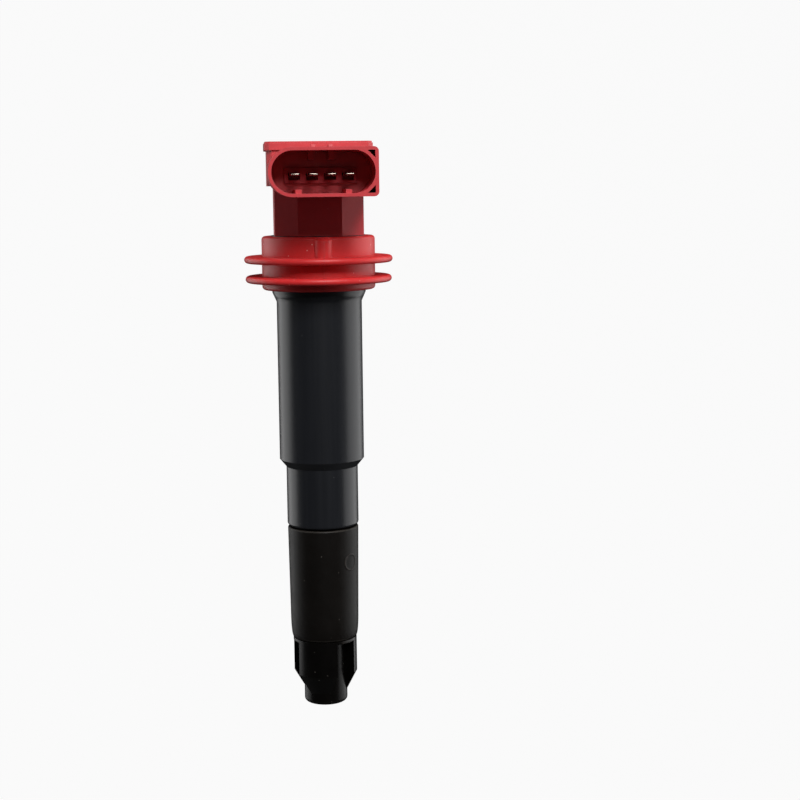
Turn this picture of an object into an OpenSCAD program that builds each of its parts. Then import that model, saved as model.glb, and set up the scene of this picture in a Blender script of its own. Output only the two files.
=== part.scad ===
// Plug-top ignition coil: a slim coil tube that stands in the spark-plug well, with a
// bolted head, a four-way connector, a two-lip well seal and a rubber boot on the plug.
// The coil's axis is Z, up. Z = 0 is the top of the straight tube, under the well seal.
// The connector looks along -Y and the mounting ear is at +Y. Millimetres.

/* [Coil tube] */
// Outside diameter of the straight tube
tube_d = 25; // [21:0.5:30]
// Length of the straight tube
tube_l = 46.6; // [38:0.5:60]
// Wall thickness of the tube
tube_wall = 1.3; // [1:0.1:1.8]
// How much wider the tube is where the well seal sits on it
seal_seat_step = 2.4; // [1.6:0.1:3]
// Height of the seal seat above the straight tube
seal_seat_h = 19.3; // [17:0.1:24]
// Height of the cone under the seal seat
flare_h = 2.7; // [2:0.1:3]
// Radial step from the tube down to the neck
neck_step = 1.9; // [1.4:0.1:2.2]
// Length of the cone between the tube and the neck
neck_cone_h = 2.3; // [2:0.1:3.5]
// Length of the neck
neck_l = 17.7; // [15:0.2:24]
// Outside diameter of the high-voltage tower inside the boot
tower_d = 13; // [11:0.1:14]
// Length of the high-voltage tower
tower_l = 21.4; // [18:0.2:26]

/* [Head] */
// Height of the head's top above the straight tube
head_top_z = 46; // [43:0.1:56]
// Width of the head across its top plate
head_w = 31; // [30:0.2:38]
// Distance from the coil's axis to the front of the head
head_front_y = 14; // [13.6:0.1:16]
// Distance from the coil's axis to the back of the bowl
bowl_back_y = 20.8; // [17.4:0.1:25]
// Thickness of the top plate's rim
plate_t = 2.4; // [2:0.1:3.4]
// How far the rim stands out past the bowl's wall
plate_overhang = 0.7; // [0.3:0.1:1]
// Radius of the long curve of the head's sides
side_r = 44.6; // [38:0.5:60]
// Width of the rim beside the resin window
rim_side = 3.65; // [2.6:0.05:4.2]
// Width of the rim in front of the resin window
rim_front = 0.8; // [0.6:0.1:1.6]
// Width of the rim behind the resin window
rim_back = 1; // [0.8:0.1:2]
// Side wall of the lower box, between the throat and its flat side
box_side_wall = 2.4; // [2:0.05:4]
// Front wall of the lower box, between the throat and its flat front
box_front_wall = 2.65; // [2:0.05:4]
// Width of the flat panel on the box's front
box_panel_w = 12.6; // [10:0.2:15]
// How far the box's slanted sides lead back
box_slant = 3.6; // [2:0.1:5]
// Depth of the locating spigot inside the tube
spigot_h = 7; // [5:0.2:9]

/* [Connector hood] */
// Width of the hood
hood_w = 29.9; // [28:0.1:36]
// Height of the hood
hood_h = 13.4; // [12:0.1:14.4]
// How far the hood reaches out from the coil's axis
hood_reach = 37; // [34:0.2:44]
// Depth of the plug's cavity
hood_depth = 16.5; // [13.8:0.1:18]
// Wall thickness of the hood
hood_wall = 0.9; // [0.8:0.05:1.4]
// Gap from the head's top down to the hood's top
hood_drop = 2.1; // [1:0.1:2.4]
// Corner radius of the hood's squared end
hood_corner_r = 1.3; // [0.8:0.1:2]
// Width of the locking nose on the hood
nose_w = 5.8; // [4:0.1:7]
// Height of the locking nose
nose_h = 0.8; // [0.5:0.1:1.2]

/* [Terminals] */
// Spacing of the four terminals
pin_pitch = 5; // [4.4:0.1:5.8]
// Width of a terminal blade
pin_w = 2.8; // [2.3:0.1:3.2]
// Thickness of a terminal blade
pin_t = 0.8; // [0.6:0.1:1]
// How far a blade's tip stays behind the hood's mouth
pin_recess = 5.5; // [4.8:0.1:7]
// Clearance around a blade in the terminal carrier
pin_fit = 0.05; // [0.02:0.01:0.15]
// How far the blades lie under the hood's middle
pin_drop = 0.6; // [0:0.1:1]

/* [Mounting ear] */
// Distance from the coil's axis to the bolt
bolt_y = 30.2; // [28:0.2:36]
// Diameter of the bolt hole
bolt_d = 6.5; // [6:0.1:7.6]
// Wall thickness of the rolled steel bushing
bushing_wall = 2.1; // [1.6:0.1:2.5]
// Outside radius of the ear
lug_r = 7.5; // [7.2:0.1:9]
// Gap from the head's top down to the ear's top
lug_drop = 3.8; // [3:0.1:5]
// Height of the ear
lug_h = 12; // [10:0.2:14]
// How far the bushing stands out past the ear, top and bottom
bushing_proud = 0.4; // [0.2:0.1:0.8]
// Thickness of the two gusset walls
gusset_t = 1.5; // [1:0.1:2]

/* [Well seal] */
// Thickness of the seal's collar round the tube's seat
collar_t = 2.85; // [2:0.05:5]
// How far the upper lip stands out from the collar
upper_lip_reach = 5.15; // [3:0.05:9]
// How far the lower lip stands out from the collar
lower_lip_reach = 4.85; // [3:0.05:9]
// Thickness of the upper lip
upper_lip_t = 2; // [1.8:0.1:2.8]
// Thickness of the lower lip
lower_lip_t = 2; // [2:0.1:3]
// Gap from the collar's top down to the upper lip's middle
upper_lip_drop = 6.8; // [5:0.1:7]
// Gap between the middles of the two lips
lip_pitch = 5.7; // [5:0.1:7]
// Height of the whole seal
seal_h = 15.6; // [15.2:0.1:16.2]
// Width of the vertical bead on the seal's front
bead_w = 5; // [4:0.1:6]
// Gap between the head's box and the seal
seal_gap = 0.2; // [0.2:0.1:0.8]

/* [Boot] */
// Outside diameter of the boot at its top
boot_d = 21; // [19:0.2:25]
// Outside diameter of the boot at its lower end
boot_end_d = 19; // [18.4:0.2:23]
// Length of the boot
boot_l = 33.9; // [28:0.2:40]
// Gap between the neck and the boot
boot_gap = 0.4; // [0.3:0.1:1]
// Radial running clearance of the boot on the tower
boot_fit = 0.05; // [0.02:0.01:0.1]
// Outside diameter of the nozzle's ribs
rib_d = 19; // [17:0.1:22]
// Length of the ribs below the boot
rib_l = 10.7; // [8:0.1:13]
// Length of the sloped ends of the ribs
rib_slope_l = 5.8; // [4:0.1:8]
// Outside diameter of the nozzle's tip
tip_d = 12.9; // [12:0.1:15]
// Length of the nozzle's plain tip
tip_l = 3.6; // [3:0.1:6]
// Width of the three channels between the ribs
channel_w = 6.8; // [4:0.1:8]
// Diameter of the bore for the spark plug's insulator
plug_bore_d = 10; // [9:0.1:11]
// Depth of the bore for the spark plug's insulator
plug_bore_l = 22.5; // [18:0.5:26]
// Diameter of the passage for the contact spring
spring_bore_d = 7.8; // [7.4:0.1:8.4]

/* [Windings] */
// Diameter of the laminated core
core_d = 8; // [7:0.1:8.6]
// Length of the laminated core
core_l = 52; // [43:0.5:56]
// Thickness of one core sheet
sheet_t = 0.8; // [0.5:0.1:1]
// Length of each magnet
magnet_h = 3; // [2:0.1:4]
// Wall thickness of the shrink sleeve on the core
sleeve_t = 0.4; // [0.2:0.05:0.5]
// Wall thickness of the secondary bobbin
bobbin_wall = 1; // [0.8:0.05:1.2]
// Number of chambers of the secondary winding
chambers = 10; // [6:1:14]
// Thickness of the flanges between the chambers
flange_t = 0.8; // [0.6:0.05:1]
// Wall thickness of the primary bobbin
primary_wall = 0.7; // [0.5:0.05:0.8]
// Thickness of the primary winding
primary_t = 0.7; // [0.4:0.05:0.8]
// Thickness of each of the two outer core sheets
shield_t = 0.4; // [0.3:0.05:0.45]
// Width of the slit in the outer core
shield_slit = 1.6; // [1:0.1:3]

/* [High-voltage parts] */
// Diameter of the suppressor resistor
resistor_d = 7; // [6:0.1:7.4]
// Length of the suppressor resistor
resistor_l = 20; // [17:0.5:22]
// Outside diameter of the contact spring
spring_d = 6; // [5:0.1:6.2]
// Diameter of the spring's wire
spring_wire = 0.7; // [0.5:0.05:0.8]
// Number of turns of the contact spring
spring_turns = 7; // [5:1:9]
// Travel of the sprung contact
contact_travel = 5; // [4:0.2:6]
// Outside diameter of the contact cap
contact_d = 6.4; // [5.6:0.1:6.8]

/* [Driver] */
// Thickness of the driver's ceramic board
board_t = 1; // [0.8:0.1:1.2]
// Thickness of the heat spreader
spreader_t = 1.5; // [1:0.1:2]
// Thickness of the potting resin over the driver
potting_t = 2.4; // [2:0.1:3]
// How far the resin stays below the rim
potting_drop = 0.7; // [0.4:0.1:1]

/* [Hidden] */

// Smooth circles
$fn = 96;
// Overlap that lets a cut pass clean through
cut = 1;
// Gap between sealed pieces that are assembled with a loose fit
loose = 0.1;

// Tube and neck
tube_r = tube_d / 2;
bore_r = tube_r - tube_wall;
seat_r = tube_r + seal_seat_step / 2;
neck_r = tube_r - neck_step;
neck_bore_r = neck_r - tube_wall;
neck_top_z = -tube_l - neck_cone_h;
neck_end_z = neck_top_z - neck_l;
neck_edge_r = 0.9;
tower_r = tower_d / 2;
tower_end_z = neck_end_z - tower_l;
tower_bore_r = resistor_d / 2 + loose;
// Thickness of the floor over the tower
hv_floor_t = 4.6;
hv_floor_z = neck_end_z + hv_floor_t;

// Head
plate_z = head_top_z - plate_t;
bowl_w = head_w - 2 * plate_overhang;
hood_top_z = head_top_z - hood_drop;
hood_bottom_z = hood_top_z - hood_h;
hood_mid_z = hood_top_z - hood_h / 2;
hood_back_y = head_front_y - 0.6;
pin_z = hood_mid_z - pin_drop;
board_top_z = pin_z - pin_t / 2;
bowl_floor_z = board_top_z - board_t;
bowl_floor_t = 1.7;
bowl_bottom_z = bowl_floor_z - bowl_floor_t;
box_z = seal_seat_h;
front_corner = 1.3;
// The head's sides lean in a little over the last stretch to its front corners
front_taper = 0.15;
taper_l = 5;
spigot_r = bore_r - loose / 2;
spigot_wall = 0.8;
throat_r = spigot_r - spigot_wall;
box_w = 2 * (throat_r + box_side_wall);
box_d = 2 * (throat_r + box_front_wall);
potting_top_z = head_top_z - potting_drop;
edge_break = 0.5;

// Hood
hood_cavity_y = hood_reach - hood_depth;
socket_h = hood_h - 2 * hood_wall;
socket_w = hood_w - 2 * hood_wall;
key_w = 1.7;
key_h = 1.1;
key_gap = 6.8;
top_key_w = 1.8;
top_key_h = 2.3;
top_key_gap = 2.85;
top_key_l = 6;
nose_y = 29.1;
nose_bar = 1.1;
nose_leg = 2.3;
nose_leg_w = 1.1;
relief_depth = 10;
relief_leg = 2.1;
relief_wall = 0.95;

// Terminal carrier
carrier_w = 4 * pin_pitch + 0.3;
carrier_top_z = pin_z + 1.85;
carrier_bottom_z = pin_z - 2.4;
carrier_front_y = hood_cavity_y + 1.5;
carrier_back_y = head_front_y - rim_front - 0.6;
pocket_w = pin_w + 0.5;
pocket_h = 1.15;
pocket_l = 2.5;
pin_tip_y = hood_reach - pin_recess;
pin_end_y = head_front_y - rim_front - 4.4;

// Ear
lug_top_z = head_top_z - lug_drop;
lug_bottom_z = lug_top_z - lug_h;
bushing_r = bolt_d / 2 + bushing_wall;
gusset_end_y = bolt_y - 1;
back_half_w = side_x(bowl_back_y, head_w);
// Walls left round the coring under the ear
coring_boss_wall = 1.6;
coring_side_wall = 2.2;
coring_roof = 3;

// Seal
seal_top_z = box_z - seal_gap;
seal_bottom_z = seal_top_z - seal_h;
collar_r = seat_r + collar_t;
upper_lip_r = collar_r + upper_lip_reach;
lower_lip_r = collar_r + lower_lip_reach;
upper_lip_z = seal_top_z - upper_lip_drop;
lower_lip_z = upper_lip_z - lip_pitch;
collar_round = 1;
// How far the bead stands to the right of the front
bead_x = 0.6;

// Windings, from the outside inwards
shield_out_r = bore_r - loose;
shield_in_r = shield_out_r - 2 * shield_t - loose;
primary_out_r = shield_in_r - loose;
primary_in_r = primary_out_r - primary_t;
primary_bobbin_in_r = primary_in_r - primary_wall;
core_r = core_d / 2;
sleeve_in_r = core_r + loose;
sleeve_out_r = sleeve_in_r + sleeve_t;
bobbin_in_r = sleeve_out_r + loose;
bobbin_out_r = bobbin_in_r + bobbin_wall;
secondary_out_r = primary_bobbin_in_r - 3 * loose;
winding_out_r = secondary_out_r - 0.3;
winding_z = -tube_l + 2.6;
winding_top_z = seal_seat_h - spigot_h - 2.4;
winding_l = winding_top_z - winding_z;
chamber_pitch = (winding_l - flange_t) / chambers;
core_z = winding_z + (winding_l - core_l) / 2;
core_top_z = core_z + core_l;
buffer_h = 2;

// Driver
board_w = head_w - 2 * rim_side - 1.6;
board_front_y = carrier_back_y - 0.4;
board_back_y = 8.5;
spreader_back_y = bowl_back_y - rim_back - 1;
module_w = 10;
module_d = 8.4;
module_h = 3.2;
module_gap = 0.4;
module_lead_pitch = 2.54;
module_lead_w = 0.8;
module_lead_t = 0.5;
primary_lead_r = 0.45;
// How far a lead stands out of the board
lead_stub = 0.6;
primary_lead_x = (primary_in_r + primary_out_r) / 2;

// High-voltage end
cup_h = 2.6;
cup_wall = 0.6;
cup_z = hv_floor_z;
bobbin_bottom_z = cup_z + cup_h + loose;
bobbin_top_z = core_top_z + magnet_h + buffer_h + 0.5;
partition_t = 1;
partition_z = core_z - magnet_h - buffer_h - partition_t;
diode_r = 1.4;
diode_l = 4.2;
lead_r = 0.4;
resistor_top_z = hv_floor_z - 0.2;
resistor_end_z = resistor_top_z - resistor_l;
resistor_cap_l = 3;

// Boot
boot_top_z = neck_end_z - boot_gap;
boot_end_z = boot_top_z - boot_l;
boot_r = boot_d / 2;
boot_end_r = boot_end_d / 2;
boot_bore_r = tower_r + boot_fit;
boot_curve_l = 7;
boot_edge = 0.3;
boot_top_round = 0.5;
boot_flare = 0.65;
boot_waist_r = boot_end_r + boot_flare;
shank_r = tower_r + 1;
shank_top_z = tower_end_z - 1.2;
barb_h = 2.4;
barb = 0.8;
barb_drop = 1.5;
rib_r = rib_d / 2;
tip_r = tip_d / 2;
rib_end_z = boot_end_z - rib_l;
tip_z = rib_end_z - rib_slope_l;
nozzle_end_z = tip_z - tip_l;
tip_round = 1.2;
// Turn of the first channel from the front towards the right
channel_turn = 40.5;
channel_roof = 0.8;
plug_bore_z = nozzle_end_z + plug_bore_l;

// Contact
contact_h = 4;
contact_wall = 0.5;
contact_bevel = 0.5;
// Room left between the turns at the end of the travel
spring_spare = 1.7;
spring_len = contact_travel + spring_turns * spring_wire + spring_spare;
contact_top_z = resistor_end_z - spring_len;
contact_bottom_z = contact_top_z - contact_h;
spring_r = (spring_d - spring_wire) / 2;

// Points along an arc, from angle a0 to angle a1
function arc(x, y, r, a0, a1, n = 8) =
    [for (i = [0 : n]) let (a = a0 + (a1 - a0) * i / n) [x + r * cos(a), y + r * sin(a)]];

// Half-width of the head at a distance y behind the axis
function side_x(y, w) = w / 2 - side_r + sqrt(side_r * side_r - y * y);

// Right-hand edge of the head from its front corner to the back of the bowl
function head_side(w, front, back, corner) = concat(
    [[w / 2 - front_taper - corner, -front], [w / 2 - front_taper, -front + corner]],
    [[w / 2, -front + taper_l]],
    [for (i = [0 : 12]) [side_x(back * i / 12, w), back * i / 12]]
);

// The other side of an outline, in the order that closes it
function mirrored(points) =
    [for (i = [len(points) - 1 : -1 : 0]) [-points[i][0], points[i][1]]];

module head_outline(w, front, back, corner = front_corner) {
    side = head_side(w, front, back, corner);
    polygon(concat(side, mirrored(side)));
}

// Opening of the bowl: straight in front, and narrower towards the ear
module window_outline(inset = 0) {
    front = head_front_y - rim_front - inset;
    back = bowl_back_y - rim_back - inset;
    half = head_w / 2 - rim_side - inset;
    back_half = back_half_w - rim_back - inset;
    side = concat(
        [[half, -front], [half, 0]],
        [for (i = [1 : 8]) let (t = i / 8) [half - (half - back_half) * t * t, back * t]]
    );
    polygon(concat(side, mirrored(side)));
}

module octagon_outline(w, d, panel, slant) {
    polygon([
        [-panel / 2, -d / 2], [panel / 2, -d / 2], [w / 2, -d / 2 + slant],
        [w / 2, d / 2 - slant], [panel / 2, d / 2], [-panel / 2, d / 2],
        [-w / 2, d / 2 - slant], [-w / 2, -d / 2 + slant]
    ]);
}

// Front view of the hood: a half-round end on the left, a squared end on the right
module hood_outline() {
    r = hood_h / 2;
    c = hood_corner_r;
    polygon(concat(
        arc(-hood_w / 2 + r, 0, r, 90, 270, 24),
        arc(hood_w / 2 - c, -r + c, c, -90, 0, 6),
        arc(hood_w / 2 - c, r - c, c, 0, 90, 6)
    ));
}

// Racetrack outline, round at both ends
module racetrack(w, h) {
    r = h / 2;
    polygon(concat(
        arc(-w / 2 + r, 0, r, 90, 270, 24),
        arc(w / 2 - r, 0, r, -90, 90, 24)
    ));
}

// Stands a front-view outline up as a block between two distances in front of the axis
module front_block(near, far) {
    translate([0, -near, 0])
        rotate([90, 0, 0])
            linear_extrude(far - near) children();
}

module ring(outer, inner, z0, z1) {
    translate([0, 0, z0])
        difference() {
            cylinder(h = z1 - z0, r = outer);
            translate([0, 0, -cut]) cylinder(h = z1 - z0 + 2 * cut, r = inner);
        }
}

module disc(r, z0, z1) {
    translate([0, 0, z0]) cylinder(h = z1 - z0, r = r);
}

// ---------------------------------------------------------------- head

module bowl_shell() {
    // rim plate, with its outer edge broken
    translate([0, 0, plate_z])
        linear_extrude(plate_t - edge_break) head_outline(head_w, head_front_y, bowl_back_y);
    translate([0, 0, head_top_z - edge_break])
        linear_extrude(edge_break)
            head_outline(head_w - edge_break, head_front_y - edge_break / 2, bowl_back_y);
    // bowl wall under the rim
    translate([0, 0, bowl_bottom_z])
        linear_extrude(plate_z - bowl_bottom_z)
            head_outline(bowl_w, head_front_y - plate_overhang, bowl_back_y);
    // lower box
    translate([0, 0, box_z])
        linear_extrude(bowl_bottom_z - box_z)
            octagon_outline(box_w, box_d, box_panel_w, box_slant);
    disc(spigot_r, box_z - spigot_h, box_z);
}

module ear_outline() {
    polygon(concat(
        [[-back_half_w, bowl_back_y - rim_back]],
        arc(0, bolt_y, lug_r, 180, 0, 32),
        [[back_half_w, bowl_back_y - rim_back]]
    ));
}

// Plan of the two gusset walls
module gusset_outline(side) {
    polygon([
        [side * back_half_w, bowl_back_y - rim_back],
        [side * lug_r, bolt_y],
        [side * (lug_r - gusset_t), bolt_y],
        [side * (back_half_w - gusset_t - 0.3), bowl_back_y - rim_back]
    ]);
}

// The walls slope from the head's top down to the ear
module gussets() {
    run = gusset_end_y - bowl_back_y;
    difference() {
        translate([0, 0, lug_bottom_z])
            linear_extrude(head_top_z - lug_bottom_z) {
                gusset_outline(-1);
                gusset_outline(1);
            }
        rotate([90, 0, 90])
            translate([0, 0, -head_w / 2])
                linear_extrude(head_w)
                    polygon([
                        [bowl_back_y, head_top_z], [bowl_back_y + run, lug_top_z],
                        [bolt_y + cut, lug_top_z], [bolt_y + cut, head_top_z + cut],
                        [bowl_back_y, head_top_z + cut]
                    ]);
    }
}

module hood_body() {
    translate([0, 0, hood_mid_z])
        front_block(hood_back_y, hood_reach) hood_outline();
    // locking nose: a bar with two legs towards the mouth
    translate([-nose_w / 2, -nose_y + nose_leg, hood_top_z - cut])
        cube([nose_w, nose_bar, nose_h + cut]);
    for (side = [-1, 1])
        translate([side * (nose_w - nose_leg_w) / 2 - nose_leg_w / 2, -nose_y, hood_top_z - cut])
            cube([nose_leg_w, nose_leg + cut / 4, nose_h + cut]);
}

module socket_keys() {
    for (side = [-1, 1]) {
        translate([side * key_gap - key_w / 2, -hood_reach + 0.5, hood_bottom_z + hood_wall / 2])
            cube([key_w, hood_depth - 0.5 + cut / 4, hood_wall / 2 + key_h]);
        translate([
            side * top_key_gap - top_key_w / 2, -hood_cavity_y - top_key_l,
            hood_top_z - hood_wall - top_key_h
        ])
            cube([top_key_w, top_key_l + cut / 4, top_key_h + hood_wall / 2]);
    }
}

// Two small hollows in the corners of the hood's squared end
module corner_reliefs() {
    x = hood_w / 2 - relief_wall;
    z = hood_h / 2 - relief_wall;
    translate([0, 0, hood_mid_z])
        front_block(hood_reach - relief_depth, hood_reach + cut)
            for (side = [-1, 1])
                polygon([[x, side * z], [x - relief_leg, side * z], [x, side * (z - relief_leg)]]);
}

module carrier_slot(gap = 0) {
    translate([
        -carrier_w / 2 - gap, -carrier_front_y - gap, carrier_bottom_z - gap
    ])
        cube([
            carrier_w + 2 * gap, carrier_front_y - carrier_back_y + 2 * gap,
            carrier_top_z - carrier_bottom_z + 2 * gap
        ]);
}

module head_housing() {
    color("#b83a40")
    difference() {
        union() {
            bowl_shell();
            translate([0, 0, lug_bottom_z]) linear_extrude(lug_h) ear_outline();
            gussets();
            difference() {
                hood_body();
                translate([0, 0, hood_mid_z])
                    front_block(hood_cavity_y, hood_reach + cut) racetrack(socket_w, socket_h);
            }
            socket_keys();
        }
        // bowl
        translate([0, 0, bowl_floor_z])
            linear_extrude(head_top_z - bowl_floor_z + cut) window_outline();
        // throat down to the coil
        disc(throat_r, box_z - spigot_h - cut, bowl_floor_z + cut);
        // way of the primary leads up to the board
        for (side = [-1, 1])
            translate([side * primary_lead_x, 0, 0])
                disc(primary_lead_r + loose, box_z, board_top_z + lead_stub + cut);
        corner_reliefs();
        // slot for the terminal carrier
        carrier_slot(pin_fit);
        // seat of the bushing
        translate([0, bolt_y, 0]) disc(bushing_r, lug_bottom_z - cut, lug_top_z + cut);
        // coring under the ear, between the bowl and the boss
        translate([0, 0, lug_bottom_z - cut])
            linear_extrude(lug_h - coring_roof + cut)
                polygon([
                    [-back_half_w + coring_side_wall + 0.4, bowl_back_y + 0.6],
                    [back_half_w - coring_side_wall - 0.4, bowl_back_y + 0.6],
                    [lug_r - coring_side_wall, bolt_y - bushing_r - coring_boss_wall],
                    [-lug_r + coring_side_wall, bolt_y - bushing_r - coring_boss_wall]
                ]);
    }
}

module terminal_carrier() {
    color("#a8343c")
    difference() {
        carrier_slot();
        for (i = [0 : 3])
            translate([(i - 1.5) * pin_pitch, 0, 0]) {
                // fit of the blade
                translate([
                    -pin_w / 2 - pin_fit, -carrier_front_y - cut, pin_z - pin_t / 2 - pin_fit
                ])
                    cube([
                        pin_w + 2 * pin_fit, carrier_front_y - carrier_back_y + 2 * cut,
                        pin_t + 2 * pin_fit
                    ]);
                // pocket under the blade
                translate([
                    -pocket_w / 2, -carrier_front_y - cut, pin_z - pin_t / 2 - pocket_h
                ])
                    cube([pocket_w, pocket_l + cut, pocket_h + pin_t]);
            }
    }
}

// Blade 1 is at the left of the hood. Its tip is chamfered and its tail lies on the board
module terminal_pin(number) {
    tip = 0.9;
    corner = 0.3;
    x = (number - 2.5) * pin_pitch;
    color("#c9c5bc")
    translate([x, 0, pin_z])
        intersection() {
            translate([0, 0, -pin_t / 2])
                linear_extrude(pin_t)
                    polygon([
                        [-pin_w / 2, -pin_end_y], [-pin_w / 2, -pin_tip_y + tip],
                        [-pin_w / 2 + corner, -pin_tip_y], [pin_w / 2 - corner, -pin_tip_y],
                        [pin_w / 2, -pin_tip_y + tip], [pin_w / 2, -pin_end_y]
                    ]);
            translate([-pin_w, 0, 0])
                rotate([90, 0, 90])
                    linear_extrude(2 * pin_w)
                        polygon([
                            [-pin_end_y, -pin_t / 2], [-pin_end_y, pin_t / 2],
                            [-pin_tip_y + tip, pin_t / 2], [-pin_tip_y, pin_t / 4],
                            [-pin_tip_y, -pin_t / 4], [-pin_tip_y + tip, -pin_t / 2]
                        ]);
        }
}

module terminal_pin_1() { terminal_pin(1); }
module terminal_pin_2() { terminal_pin(2); }
module terminal_pin_3() { terminal_pin(3); }
module terminal_pin_4() { terminal_pin(4); }

// Rolled steel sleeve with its seam towards -X
module mount_bushing() {
    seam = 0.5;
    valley_w = 2.6;
    valley_h = 0.55;
    inner_edge = 0.3;
    outer_edge = 0.5;
    z0 = lug_bottom_z - bushing_proud;
    z1 = lug_top_z + bushing_proud;
    color("#c4c6c8")
    translate([0, bolt_y, 0])
        difference() {
            translate([0, 0, z0])
                rotate_extrude()
                    polygon([
                        [bolt_d / 2, inner_edge], [bolt_d / 2 + inner_edge, 0],
                        [bushing_r - outer_edge, 0], [bushing_r, outer_edge],
                        [bushing_r, z1 - z0 - outer_edge], [bushing_r - outer_edge, z1 - z0],
                        [bolt_d / 2 + inner_edge, z1 - z0], [bolt_d / 2, z1 - z0 - inner_edge]
                    ]);
            translate([-bushing_r - cut, -seam / 2, z0 - cut])
                cube([bushing_r + cut, seam, z1 - z0 + 2 * cut]);
            // the rolled edges leave a valley along the seam
            translate([0, 0, z0 - cut])
                linear_extrude(z1 - z0 + 2 * cut)
                    polygon([
                        [-bolt_d / 2 + valley_h, -valley_w / 2], [-bolt_d / 2 + valley_h, valley_w / 2],
                        [-bolt_d / 2 - valley_h, seam / 2], [-bolt_d / 2 - valley_h, -seam / 2]
                    ]);
        }
}

module potting_resin() {
    color("#181613")
    translate([0, 0, potting_top_z - potting_t]) linear_extrude(potting_t) window_outline();
}

// ---------------------------------------------------------------- driver

module driver_board() {
    color("#e6e1d2")
    translate([0, 0, bowl_floor_z])
        linear_extrude(board_t)
            difference() {
                translate([-board_w / 2, -board_front_y])
                    square([board_w, board_front_y + board_back_y]);
                for (side = [-1, 1])
                    translate([side * primary_lead_x, 0])
                        circle(r = primary_lead_r + loose, $fn = 24);
            }
}

module heat_spreader() {
    front = throat_r + 0.2;
    w = 2 * (back_half_w - rim_back - 1);
    color("#b9bcc0")
    translate([-w / 2, front, bowl_floor_z])
        cube([w, spreader_back_y - front, spreader_t]);
}

module power_module() {
    z = bowl_floor_z + spreader_t;
    y = spreader_back_y - module_gap - module_d;
    color("#23252a")
    translate([-module_w / 2, y, z]) cube([module_w, module_d, module_h]);
    color("#b8bbbf")
    for (i = [-1 : 1])
        translate([i * module_lead_pitch - module_lead_w / 2, board_back_y - 2, z + 0.3])
            cube([module_lead_w, y - board_back_y + 2, module_lead_t]);
}

// Enamelled wires that join the primary winding to the board
module primary_leads() {
    color("#b5683a")
    for (side = [-1, 1])
        translate([side * primary_lead_x, 0, winding_top_z])
            cylinder(h = board_top_z + lead_stub - winding_top_z, r = primary_lead_r, $fn = 24);
}

// ---------------------------------------------------------------- well seal

// Half-round tip of a lip, from its lower side to its upper side
function lip(r, z, t, root) = concat(
    [[root, z - t / 2]],
    arc(r - t / 2, z, t / 2, -90, 90, 16),
    [[root, z + t / 2]]
);

module well_seal() {
    bead_r = bead_w / 2;
    bead_y = -collar_r + 0.5;
    color("#d63038") {
        difference() {
            union() {
                rotate_extrude()
                    polygon(concat(
                        [[seat_r, seal_bottom_z]],
                        arc(collar_r - collar_round, seal_bottom_z + collar_round,
                            collar_round, -90, 0),
                        lip(lower_lip_r, lower_lip_z, lower_lip_t, collar_r),
                        lip(upper_lip_r, upper_lip_z, upper_lip_t, collar_r),
                        arc(collar_r - collar_round, seal_top_z - collar_round,
                            collar_round, 0, 90),
                        [[seat_r, seal_top_z]]
                    ));
                // vertical bead above the upper lip
                translate([bead_x, bead_y, 0]) {
                    disc(bead_r, upper_lip_z, seal_top_z - collar_round);
                    translate([0, 0, seal_top_z - collar_round])
                        cylinder(h = collar_round, r1 = bead_r, r2 = bead_r - collar_round);
                }
            }
            // bore on the tube's seat
            disc(seat_r, seal_bottom_z - cut, seal_top_z + cut);
        }
    }
}

// ---------------------------------------------------------------- coil tube

module coil_tube() {
    color("#2b2e35")
    difference() {
        rotate_extrude()
            polygon(concat(
                [[0, seal_seat_h], [0, tower_end_z], [tower_r - 0.6, tower_end_z]],
                [[tower_r, tower_end_z + 0.8], [tower_r, neck_end_z]],
                arc(neck_r - neck_edge_r, neck_end_z + neck_edge_r, neck_edge_r, -90, 0),
                [[neck_r, neck_top_z], [tube_r, -tube_l], [tube_r, 0], [seat_r, flare_h]],
                [[seat_r, seal_seat_h]]
            ));
        disc(bore_r, -tube_l + 1, seal_seat_h + cut);
        translate([0, 0, neck_top_z + 1])
            cylinder(h = neck_cone_h + 0.01, r1 = neck_bore_r, r2 = bore_r);
        disc(neck_bore_r, hv_floor_z, neck_top_z + 1.01);
        disc(tower_bore_r, tower_end_z - cut, hv_floor_z + cut);
    }
}

// Two slit sheets of electrical steel, one inside the other
module outer_core() {
    color("#7b8087")
    difference() {
        union() {
            ring(shield_out_r, shield_out_r - shield_t, winding_z, winding_top_z);
            ring(shield_in_r + shield_t, shield_in_r, winding_z, winding_top_z);
        }
        translate([-shield_slit / 2, 0, winding_z - cut])
            cube([shield_slit, tube_r, winding_l + 2 * cut]);
    }
}

module primary_bobbin() {
    color("#d9d2bd")
    union() {
        ring(primary_in_r, primary_bobbin_in_r, winding_z, winding_top_z);
        ring(primary_out_r, primary_bobbin_in_r, winding_z, winding_z + flange_t);
        difference() {
            ring(primary_out_r, primary_bobbin_in_r, winding_top_z - flange_t, winding_top_z);
            // notches for the two leads
            for (side = [-1, 1])
                translate([side * primary_lead_x, 0, 0])
                    disc(primary_lead_r + loose, winding_top_z - flange_t - cut, winding_top_z + cut);
        }
    }
}

module primary_winding() {
    color("#a4552a")
    ring(primary_out_r - loose, primary_in_r, winding_z + flange_t, winding_top_z - flange_t);
}

module secondary_bobbin() {
    color("#e2dccb")
    difference() {
        union() {
            disc(bobbin_out_r, bobbin_bottom_z, bobbin_top_z);
            for (i = [0 : chambers])
                disc(secondary_out_r, winding_z + i * chamber_pitch,
                    winding_z + i * chamber_pitch + flange_t);
        }
        disc(bobbin_in_r, partition_z + partition_t, bobbin_top_z + cut);
        disc(bobbin_in_r, bobbin_bottom_z - cut, partition_z);
    }
}

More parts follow.
